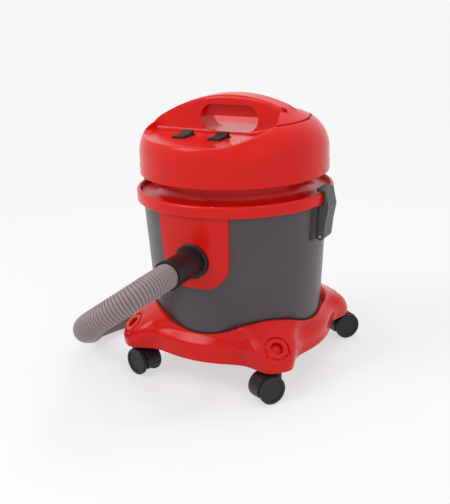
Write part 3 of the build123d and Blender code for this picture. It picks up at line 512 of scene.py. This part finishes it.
def rounded(section):
    """Closed outline of a section's corners, each an arc that touches both of its sides.

    The arc's middle lies on the bisector, radius / sin(half the corner's angle) away from the corner.
    """
    section = np.asarray(section, float)
    corners, radii = section[:, :2], section[:, 2]
    outline = []
    neighbours = np.roll(corners, 1, 0), np.roll(corners, -1, 0)
    for corner, before, after, radius in zip(corners, *neighbours, radii):
        if not radius:
            outline.append(corner[None])
            continue
        come = (before - corner) / np.linalg.norm(before - corner)
        leave = (after - corner) / np.linalg.norm(after - corner)
        half = np.arccos(np.clip(come @ leave, -1, 1)) / 2
        middle = (come + leave) / np.linalg.norm(come + leave)
        center = corner + middle * radius / np.sin(half)
        sweep = np.linspace(-1, 1, CORNER_STEPS)[:, None] * (pi / 2 - half)
        across = (leave - come) / np.linalg.norm(leave - come)
        outline.append(center - radius * (middle * np.cos(sweep) - across * np.sin(sweep)))
    return np.concatenate(outline)


def turned(name, outline):
    """Ring made by turning a closed outline of (radius, height) points about the upright."""
    turn = np.linspace(0, 2 * pi, TURNED_STEPS, endpoint=False)[:, None]
    radius, height = outline[None, :, 0], np.broadcast_to(outline[:, 1], (TURNED_STEPS, len(outline)))
    points = np.stack([radius * np.cos(turn), radius * np.sin(turn), height], -1)
    mesh = grid_mesh(name, points, close_rows=True, close_columns=True)
    face_outwards(mesh)
    return mesh


class VACUUM_OT_tank(bpy.types.Operator):
    """Turn the rim collar and dress the drum and its inlet."""

    bl_idname = "vacuum.tank"
    bl_label = "Tank"

    def execute(self, context):
        collar = turned("rim_collar_ring", rounded(COLLAR_SECTION))
        collar.set_sharp_from_angle(angle=SHARP_ANGLE)
        piece_from(collar, "rim_collar_ring", "rim_collar")
        skin("inlet_plate", 0.002)
        for node in ("tank_drum", "inlet_socket", "inlet_nut", "inlet_deflector"):
            skin(node, 0.0008)
        return {"FINISHED"}


# ---------------------------------------------------------------- head cover
# Sizes are in metres. A softness is the width over which two surfaces blend.
COVER_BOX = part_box("head_cover")
COVER_WALL = 0.0035
SHOULDER_RADIUS = 0.0644
SHOULDER_Z = 0.4
CROWN_EDGE = 0.139
CROWN_SHARE = 0.66
DOME_SOFTNESS = 0.0045

DECK_Z = 0.43
DECK_LEFT_X = -0.147
DECK_LEFT_STEEPNESS = 1.6
DECK_RIGHT_X = 0.092
DECK_RIGHT_STEEPNESS = 2.2
DECK_RIGHT_SLANT = 0.55
DECK_RIGHT_SLANT_LENGTH = 1.14
DECK_RISE_X = 0.04
DECK_RISE_RADIUS = 0.12
DECK_FILLET = 0.009
DECK_FILLET_FADE = 0.5
DECK_SOFTNESS = 0.001
REAR_RISE = 0.012
REAR_RISE_Y = 0.06
REAR_RISE_LENGTH = 0.09

HANDLE_X = 0.005
HANDLE_TOP = 0.497
HANDLE_RADIUS = 0.25
HANDLE_HALF_WIDTH = 0.024
HANDLE_ROUNDING = 0.008
HANDLE_STEEPNESS = 40
HANDLE_END_X = 0.1
HANDLE_END_FALL = 14
HANDLE_SOFTNESS = 0.0025
HANDLE_OVER_DOME = 0.03
HANDLE_HOLLOW_X = (-0.09, 0.088)

HAND_HOLE_X = 0.0035
HAND_HOLE_LENGTH = 0.113
HAND_HOLE_Z = (DECK_Z + 0.003, 0.48)
HAND_HOLE_CEILING = 0.458
HAND_HOLE_SIDE_Y = (0.012, 0.06)
HAND_HOLE_MIDDLE_Y = 0.013
SLIT_RADIUS = 0.137
SLIT_HALF_WIDTH = 0.002
SLIT_HALF_ANGLE = radians(32.4)
SLIT_Z = (0.4528, 0.5)
WELL_X = 0.106
WELL_Y = 0.0168
WELL_RADIUS = 0.0054
WELL_Z = (0.446, 0.51)
WELL_BOSS_RADIUS = 0.0105
SWITCH_HALF_SIZE = (0.0124, 0.0214)
SWITCH_CUT = 0.02
ALONG_Y, ALONG_Z = 1, 2

# Rows of the grid, close together at the handle's edges and at the rim, and its columns.
RIM_SHARE = 0.93
HANDLE_ROWS = 9
BESIDE_HANDLE = (0.0004, 0.0008, 0.0012, 0.012)
DECK_ROWS = 92
RIM_ROWS = 20
OUTER_COLUMNS = 261
INNER_COLUMNS = 61
COVER_SHARP_ANGLE = radians(38)


def arc_fall(distance, radius):
    """How far a circle of a radius has fallen at a distance from its top; past its side, its full radius."""
    return radius - np.sqrt(np.maximum(radius**2 - np.clip(distance, 0, radius) ** 2, 0))


def soft_min(first, second, width):
    """Smaller of two heights, less (width - gap)^2 / (4 width) where they differ by less than a width."""
    gap = np.maximum(width - np.abs(first - second), 0)
    return np.minimum(first, second) - gap**2 / (4 * width)


def dome_outline(share, inset):
    """Radius and height at a share, from 0 at the crown to 1 at the parting line, moved inward by an inset.

    The crown is an arc whose radius grows evenly with the share. Then come the shoulder's arc and the wall.
    """
    foot_z, wide = COVER_BOX[0][2], COVER_BOX[1][0]
    shoulder_x = wide - SHOULDER_RADIUS
    turn = np.arccos((CROWN_EDGE - shoulder_x) / SHOULDER_RADIUS)
    sphere = CROWN_EDGE / np.cos(turn)
    sphere_z = SHOULDER_Z + (SHOULDER_RADIUS - sphere) * np.sin(turn)
    arc = SHOULDER_RADIUS * turn
    run = np.maximum(share - CROWN_SHARE, 0) / (1 - CROWN_SHARE) * (arc + SHOULDER_Z - foot_z)
    lean = np.minimum(share / CROWN_SHARE, 1) * CROWN_EDGE / sphere
    in_crown = share < CROWN_SHARE
    slope = np.where(in_crown, np.arcsin(lean), pi / 2 - turn + np.minimum(run, arc) / SHOULDER_RADIUS)
    out, up = np.sin(slope), np.cos(slope)
    radius = np.where(in_crown, sphere * out, shoulder_x + SHOULDER_RADIUS * out)
    height = np.where(in_crown, sphere_z + sphere * up, SHOULDER_Z + SHOULDER_RADIUS * up)
    height = height - np.maximum(run - arc, 0)
    return radius - inset * out, height - inset * up


def deck_height(x, y, inset):
    """Height of the decks' floor and of the walls round them; on the inside it runs through under the handle.

    The floor is level, then rises along an arc at the right and along a smooth step at the rear. Each wall is
    a fillet, then a steep slope: one along the handle, one at the left end and one slanting at the right end.
    """
    side = np.abs(y)
    rear = np.clip((y - REAR_RISE_Y) / REAR_RISE_LENGTH, 0, 1)
    floor = DECK_Z + arc_fall(x - DECK_RISE_X, DECK_RISE_RADIUS) + REAR_RISE * rear**2 * (3 - 2 * rear)
    handle_wall = side - HANDLE_HALF_WIDTH
    right_wall = (DECK_RIGHT_X + DECK_RIGHT_SLANT * handle_wall - x) / DECK_RIGHT_SLANT_LENGTH
    if inset:
        left, right = HANDLE_HOLLOW_X
        handle_wall = np.maximum(handle_wall, np.minimum(x - left, right - x))
    walls = (
        (handle_wall, HANDLE_STEEPNESS),
        (x - DECK_LEFT_X, DECK_LEFT_STEEPNESS),
        (right_wall, DECK_RIGHT_STEEPNESS),
    )
    height = floor
    for gap, steepness in walls:
        gap = gap + inset
        fade = DECK_FILLET_FADE * np.maximum(gap - DECK_FILLET, 0)
        fillet = arc_fall(DECK_FILLET - gap, DECK_FILLET) - fade
        wall = floor + np.where(gap > 0, fillet, DECK_FILLET - np.minimum(gap, 0) * steepness)
        height = -soft_min(-height, -wall, DECK_SOFTNESS)
    return height - inset


def handle_height(x, side):
    """Height of the handle's arched top, with rounded long edges, falling away beyond its sides and ends."""
    arch = HANDLE_TOP - arc_fall(np.abs(x - HANDLE_X), HANDLE_RADIUS)
    edge = arc_fall(side - HANDLE_HALF_WIDTH + HANDLE_ROUNDING, HANDLE_ROUNDING)
    beyond = np.maximum(side - HANDLE_HALF_WIDTH, 0) * HANDLE_STEEPNESS
    end = np.maximum(np.abs(x) - HANDLE_END_X, 0) ** 2 * HANDLE_END_FALL
    return arch - edge - beyond - end


def cover_sheet(rows, columns, inset):
    """Grid of points on the cover's outside, or on its inside where there is an inset.

    A row has one depth y on the crown; a column is a share of that row's width. The height is the smaller of
    the dome and the decks, or the handle's top where that is higher.
    """
    across, along = np.meshgrid(columns, rows)
    first, second = np.sqrt(np.maximum(1 - along**2, 0)) * across, along
    share = np.clip(np.hypot(first, second), 1e-9, 1)
    radius, dome = dome_outline(share, 0)
    x, y = first / share * radius, second / share * radius
    if inset:
        radius, dome = dome_outline(share, inset)
    side = np.abs(y)
    height = soft_min(dome, deck_height(x, y, inset), DOME_SOFTNESS)
    if inset:
        boss = np.hypot(x - WELL_X, side - WELL_Y) < WELL_BOSS_RADIUS
        height = np.where(boss, np.minimum(height, DECK_Z), height)
    else:
        height = -soft_min(-height, -handle_height(x, side), HANDLE_SOFTNESS)
    x, y = first / share * radius, second / share * radius
    return np.stack([x, y, np.minimum(height, dome + HANDLE_OVER_DOME)], -1)


def cover_rows():
    """Places of the grid's rows from -1 to 1, close together at the handle's edges and at the rim."""
    half = HANDLE_HALF_WIDTH
    flat = np.linspace(0, half - HANDLE_ROUNDING, HANDLE_ROWS)[:-1]
    edge = half - HANDLE_ROUNDING + HANDLE_ROUNDING * np.sin(np.linspace(0, pi / 2, HANDLE_ROWS))
    beside = np.concatenate([BESIDE_HANDLE[:2], np.linspace(*BESIDE_HANDLE[2:], HANDLE_ROWS)])
    near = np.concatenate([flat, edge, half + beside]) / CROWN_EDGE * CROWN_SHARE
    far = np.linspace(near[-1], RIM_SHARE, DECK_ROWS)[1:]
    rim = np.sin(np.linspace(np.arcsin(RIM_SHARE), pi / 2, RIM_ROWS))[1:]
    positive = np.concatenate([near, far, rim])
    return np.concatenate([-positive[:0:-1], positive])


def cover_shell():
    """Closed shell of the cover: its outside, its inside and the two rims that join them."""
    rows = cover_rows()
    outside = cover_sheet(rows, np.linspace(-1, 1, OUTER_COLUMNS), 0)
    inside = cover_sheet(rows, np.linspace(-1, 1, INNER_COLUMNS), COVER_WALL)
    meshes = [grid_mesh("outside", outside), grid_mesh("inside", inside)]
    meshes += [grid_mesh("rim", np.stack([outside[:, end], inside[:, end]], 1)) for end in (0, -1)]
    work = bmesh.new()
    for mesh in meshes:
        work.from_mesh(mesh)
        bpy.data.meshes.remove(mesh)
    bmesh.ops.remove_doubles(work, verts=work.verts, dist=SHELL_MERGE)
    bmesh.ops.dissolve_degenerate(work, edges=work.edges, dist=TINY)
    bmesh.ops.recalc_face_normals(work, faces=work.faces)
    mesh = bpy.data.meshes.new("head_cover_shell")
    work.to_mesh(mesh)
    work.free()
    return mesh


def prism(outline, low, high, axis):
    """Closed solid: an outline in a plane, carried from low to high along Y or Z."""
    points = np.concatenate([np.insert(outline, axis, level, axis=1) for level in (low, high)])
    count = len(outline)
    sides = [(i, (i + 1) % count, count + (i + 1) % count, count + i) for i in range(count)]
    mesh = bpy.data.meshes.new("cutter")
    mesh.from_pydata(points.tolist(), [], [tuple(range(count)), tuple(range(count, 2 * count)), *sides])
    return mesh


def arc_points(x, y, radius, turn):
    """Points of an arc about (x, y) at given turns."""
    return np.stack([x + radius * np.cos(turn), y + radius * np.sin(turn)], -1)


def hand_hole_outline():
    """Outline of the hand hole: a slot with round ends."""
    low, high = HAND_HOLE_Z
    radius = (high - low) / 2
    turn = np.linspace(-pi / 2, pi / 2, 33)
    right = arc_points(HAND_HOLE_X + HAND_HOLE_LENGTH / 2 - radius, (low + high) / 2, radius, turn)
    return np.concatenate([right, [2 * HAND_HOLE_X, low + high] - right])


def slit_outline():
    """Outline of a strip along an arc about the origin, at the handle's right end."""
    turn = np.linspace(-SLIT_HALF_ANGLE, SLIT_HALF_ANGLE, 65)
    outer = arc_points(0, 0, SLIT_RADIUS + SLIT_HALF_WIDTH, turn)
    inner = arc_points(0, 0, SLIT_RADIUS - SLIT_HALF_WIDTH, turn[::-1])
    return np.concatenate([outer, inner])


def cover_cutters():
    """Solids of the cover's holes: the hand hole, the wells, the slit and the switches' openings."""
    hole = hand_hole_outline()
    ceiling = np.stack([hole[:, 0], np.minimum(hole[:, 1], HAND_HOLE_CEILING)], -1)
    near, far = HAND_HOLE_SIDE_Y
    cutters = [
        prism(hole, -far, -near, ALONG_Y),
        prism(hole, near, far, ALONG_Y),
        prism(ceiling, -HAND_HOLE_MIDDLE_Y, HAND_HOLE_MIDDLE_Y, ALONG_Y),
    ]
    around = np.linspace(0, 2 * pi, 48, endpoint=False)
    for y in (-WELL_Y, WELL_Y):
        well = arc_points(WELL_X, y, WELL_RADIUS, around)
        cutters.append(prism(well, *WELL_Z, ALONG_Z))
    cutters.append(prism(slit_outline(), *SLIT_Z, ALONG_Z))
    for side in SIDES:
        low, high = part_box(f"switch_frame_{side}")
        x, y = (low[0] + high[0]) / 2, (low[1] + high[1]) / 2
        half_x, half_y = SWITCH_HALF_SIZE
        turns = ((-1, -1), (1, -1), (1, 1), (-1, 1))
        corners = [(x + half_x * right, y + half_y * back) for right, back in turns]
        cutters.append(prism(corners, DECK_Z - SWITCH_CUT, DECK_Z + SWITCH_CUT, ALONG_Z))
    return cutters


def cut(piece, meshes):
    """Take closed solids out of a piece, one after another."""
    for mesh in meshes:
        face_outwards(mesh, TINY)
        cutter = bpy.data.objects.new("cutter", mesh)
        link(cutter)
        taking = piece.modifiers.new("Cut", "BOOLEAN")
        taking.operation = "DIFFERENCE"
        taking.solver = "EXACT"
        taking.object = cutter
        bpy.context.view_layer.update()
        result = bpy.data.meshes.new_from_object(piece.evaluated_get(bpy.context.evaluated_depsgraph_get()))
        piece.modifiers.clear()
        piece.data = result
        bpy.data.objects.remove(cutter)
        bpy.data.meshes.remove(mesh)


class VACUUM_OT_cover(bpy.types.Operator):
    """Make the head's cover: dome, decks and handle in one smooth surface, with its holes cut through."""

    bl_idname = "vacuum.cover"
    bl_label = "Head cover"

    def execute(self, context):
        piece = piece_from(cover_shell(), "head_cover_shell", "head_cover")
        cut(piece, cover_cutters())
        piece.data.shade_smooth()
        piece.data.set_sharp_from_angle(angle=COVER_SHARP_ANGLE)
        return {"FINISHED"}


# ---------------------------------------------------------------- pieces kept from the frame, dressed
class VACUUM_OT_head(bpy.types.Operator):
    """Dress the head's base, its cord gland and its gasket."""

    bl_idname = "vacuum.head"
    bl_label = "Head"

    def execute(self, context):
        skin("head_base", 0.0006)
        skin("cable_gland", 0.0006)
        skin("head_gasket", 0.0003)
        return {"FINISHED"}


class VACUUM_OT_switches(bpy.types.Operator):
    """Dress the rocker switches and their frames."""

    bl_idname = "vacuum.switches"
    bl_label = "Switches"

    def execute(self, context):
        for side in SIDES:
            skin(f"switch_frame_{side}", 0.0006)
            skin(f"rocker_{side}", 0.001)
        return {"FINISHED"}


class VACUUM_OT_latches(bpy.types.Operator):
    """Dress the latches, their brackets and pins."""

    bl_idname = "vacuum.latches"
    bl_label = "Latches"

    def execute(self, context):
        for side in SIDES:
            skin(f"latch_{side}", 0.0012)
            skin(f"latch_bracket_{side}", 0.0006)
            skin(f"latch_pin_{side}", 0.0003)
        return {"FINISHED"}


class VACUUM_OT_base(bpy.types.Operator):
    """Dress the lobed base, its seal, plugs and screws."""

    bl_idname = "vacuum.base"
    bl_label = "Base"

    def execute(self, context):
        skin("base_skirt", 0.0015)
        skin("base_seal", 0.0004)
        skin("lobe_plugs", 0.0012)
        skin("base_screws", 0.0003)
        skin("caster_sockets", 0.0002)
        return {"FINISHED"}


class VACUUM_OT_casters(bpy.types.Operator):
    """Dress the casters."""

    bl_idname = "vacuum.casters"
    bl_label = "Casters"

    def execute(self, context):
        for corner in CASTERS:
            skin(f"caster_{corner}_body", 0.001)
            skin(f"caster_{corner}_axle", 0.0003)
            skin(f"caster_{corner}_wheels", 0.0006)
        return {"FINISHED"}


INSIDE = (
    "motor_pan",
    "pan_screws",
    "cover_screws",
    "motor_gasket",
    "sound_foam",
    "fan_case",
    "motor_frame",
    "motor_field",
    "brush_holders",
    "bearing_lower",
    "bearing_upper",
    "motor_shaft",
    "rotor",
    "fan",
    "float_cage",
    "float_ball",
    "filter",
    "filter_ring",
)


class VACUUM_OT_works(bpy.types.Operator):
    """Dress the motor, fan, float and filter inside."""

    bl_idname = "vacuum.works"
    bl_label = "Works inside"

    def execute(self, context):
        for node in INSIDE:
            skin(node, 0.0004)
        return {"FINISHED"}


# ---------------------------------------------------------------- stage
AIM = Vector((0, 0, 0.25))
BACKGROUND = (0.93, 0.93, 0.93)
NEAR_GLOW = (1.13, 1.13, 1.13)
NEAR_GLOW_SHARE = 0.58
FADE_FROM, FADE_TO = 0.5, 1.5
FLOOR_REACH = 45.0
# Square lamps: place, size and share of the main lamp's power. Reflections show only the mirrored ones.
LAMPS = (
    ("Key", (-1.3, -1.5, 2.1), 1.2, 1.0),
    ("Fill", (1.9, -1.2, 1.3), 1.5, 0.45),
    ("Top", (0.2, 0.9, 2.4), 1.3, 0.5),
    ("Spark", (-0.35, -0.7, 2.6), 0.22, 0.2),
)
MIRRORED = ("Key", "Spark")


def seen_white(tree, lit, seen):
    """Mix a lit shader with a pale one that the camera sees, also in reflections and through glass."""
    rays = tree.nodes.new("ShaderNodeLightPath")
    either = tree.nodes.new("ShaderNodeMath")
    either.operation = "MAXIMUM"
    tree.links.new(rays.outputs["Is Camera Ray"], either.inputs[0])
    tree.links.new(rays.outputs["Is Glossy Ray"], either.inputs[1])
    last = tree.nodes.new("ShaderNodeMath")
    last.operation = "MAXIMUM"
    tree.links.new(either.outputs[0], last.inputs[0])
    tree.links.new(rays.outputs["Is Transmission Ray"], last.inputs[1])
    mix = tree.nodes.new("ShaderNodeMixShader")
    tree.links.new(last.outputs[0], mix.inputs["Fac"])
    tree.links.new(lit, mix.inputs[1])
    tree.links.new(seen, mix.inputs[2])
    return mix.outputs["Shader"]


class VACUUM_OT_stage(bpy.types.Operator):
    """Set up the camera, the pale floor, the lamps and the even light."""

    bl_idname = "vacuum.stage"
    bl_label = "Stage"

    def execute(self, context):
        studio = context.scene.vacuum_studio
        self.add_camera(studio)
        self.add_floor()
        self.add_lamps(studio)
        self.add_world(studio)
        context.scene.view_settings.view_transform = "Standard"
        return {"FINISHED"}

    def add_camera(self, studio):
        """A camera at the studio's eye, turned by its heading, dip and roll."""
        lens = bpy.data.cameras.new("Camera")
        lens.lens = studio.lens
        lens.sensor_width = 36
        lens.clip_end = 100
        camera = bpy.data.objects.new("Camera", lens)
        turn = (
            Matrix.Rotation(studio.heading, 4, "Z")
            @ Matrix.Rotation(pi / 2 - studio.dip, 4, "X")
            @ Matrix.Rotation(studio.roll, 4, "Z")
        )
        camera.matrix_world = Matrix.Translation(studio.eye) @ turn
        link(camera)
        bpy.context.scene.camera = camera

    def add_floor(self):
        """A wide floor that keeps the shadows near the vacuum and fades to the background further off."""
        side = np.array([-FLOOR_REACH, FLOOR_REACH])
        x, y = np.meshgrid(side, side)
        mesh = grid_mesh("floor", np.stack([x, y, np.zeros_like(x)], -1))
        floor = bpy.data.objects.new("floor", mesh)
        link(floor)
        material, tree, shader, place = node_tree("Pale floor")
        shade = blend_colors(tree, noise(tree, place, 2, 2), (0.8, 0.8, 0.8), (0.82, 0.82, 0.82))
        tree.links.new(shade, shader.inputs["Base Color"])
        shader.inputs["Roughness"].default_value = 0.9
        shader.inputs["Specular IOR Level"].default_value = 0.1
        away = tree.nodes.new("ShaderNodeVectorMath")
        away.operation = "LENGTH"
        tree.links.new(place, away.inputs[0])
        ramp = tree.nodes.new("ShaderNodeMapRange")
        ramp.interpolation_type = "SMOOTHSTEP"
        ramp.inputs["From Min"].default_value = FADE_FROM
        ramp.inputs["From Max"].default_value = FADE_TO
        ramp.inputs["To Min"].default_value = NEAR_GLOW_SHARE
        tree.links.new(away.outputs["Value"], ramp.inputs["Value"])
        glow = tree.nodes.new("ShaderNodeEmission")
        pale = blend_colors(tree, ramp.outputs["Result"], NEAR_GLOW, BACKGROUND)
        tree.links.new(pale, glow.inputs["Color"])
        soft = tree.nodes.new("ShaderNodeMixShader")
        tree.links.new(ramp.outputs["Result"], soft.inputs["Fac"])
        tree.links.new(shader.outputs["BSDF"], soft.inputs[1])
        tree.links.new(glow.outputs["Emission"], soft.inputs[2])
        seen = seen_white(tree, shader.outputs["BSDF"], soft.outputs["Shader"])
        tree.links.new(seen, tree.nodes["Material Output"].inputs["Surface"])
        mesh.materials.append(material)

    def add_lamps(self, studio):
        """Square lamps that look at the middle of the vacuum."""
        for name, place, size, share in LAMPS:
            light = bpy.data.lights.new(name, "AREA")
            light.shape = "SQUARE"
            light.size = size
            light.energy = studio.key * share
            lamp = bpy.data.objects.new(name, light)
            lamp.location = place
            lamp.rotation_euler = (AIM - Vector(place)).to_track_quat("-Z", "Y").to_euler()
            lamp.visible_glossy = name in MIRRORED
            link(lamp)

    def add_world(self, studio):
        """Even light from all round, before a pale background."""
        world = bpy.data.worlds.new("Studio")
        bpy.context.scene.world = world
        world.use_nodes = True
        tree = world.node_tree
        tree.nodes.clear()
        lit = tree.nodes.new("ShaderNodeBackground")
        lit.inputs["Color"].default_value = (1, 1, 1, 1)
        lit.inputs["Strength"].default_value = studio.ambient
        seen = tree.nodes.new("ShaderNodeBackground")
        seen.inputs["Color"].default_value = (*BACKGROUND, 1)
        seen.inputs["Strength"].default_value = 1.0
        output = tree.nodes.new("ShaderNodeOutputWorld")
        tree.links.new(seen_white(tree, lit.outputs[0], seen.outputs[0]), output.inputs["Surface"])


# ---------------------------------------------------------------- panel and running
class VACUUM_PT_dresser(bpy.types.Panel):
    """Lists the vacuum's operators, finishes and sizes."""

    bl_idname = "VACUUM_PT_dresser"
    bl_label = "Shop vacuum"
    bl_space_type = "VIEW_3D"
    bl_region_type = "UI"
    bl_category = "Vacuum"

    def draw(self, context):
        for step in STEPS:
            self.layout.operator(step.bl_idname)
        for group in (context.scene.vacuum_finish, context.scene.vacuum_hose, context.scene.vacuum_studio):
            for name in group.__annotations__:
                self.layout.prop(group, name)


STEPS = (
    VACUUM_OT_stage,
    VACUUM_OT_hose,
    VACUUM_OT_tank,
    VACUUM_OT_cover,
    VACUUM_OT_head,
    VACUUM_OT_switches,
    VACUUM_OT_latches,
    VACUUM_OT_base,
    VACUUM_OT_casters,
    VACUUM_OT_works,
)
CLASSES = (VacuumFinish, VacuumHose, VacuumStudio, *STEPS, VACUUM_PT_dresser)


def register():
    for item in CLASSES:
        bpy.utils.register_class(item)
    bpy.types.Scene.vacuum_finish = bpy.props.PointerProperty(type=VacuumFinish)
    bpy.types.Scene.vacuum_hose = bpy.props.PointerProperty(type=VacuumHose)
    bpy.types.Scene.vacuum_studio = bpy.props.PointerProperty(type=VacuumStudio)


def unregister():
    del bpy.types.Scene.vacuum_studio
    del bpy.types.Scene.vacuum_hose
    del bpy.types.Scene.vacuum_finish
    for item in reversed(CLASSES):
        bpy.utils.unregister_class(item)


def main():
    """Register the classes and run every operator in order."""
    register()
    for step in STEPS:
        family, name = step.bl_idname.split(".")
        getattr(getattr(bpy.ops, family), name)()


if __name__ == "__main__":
    main()
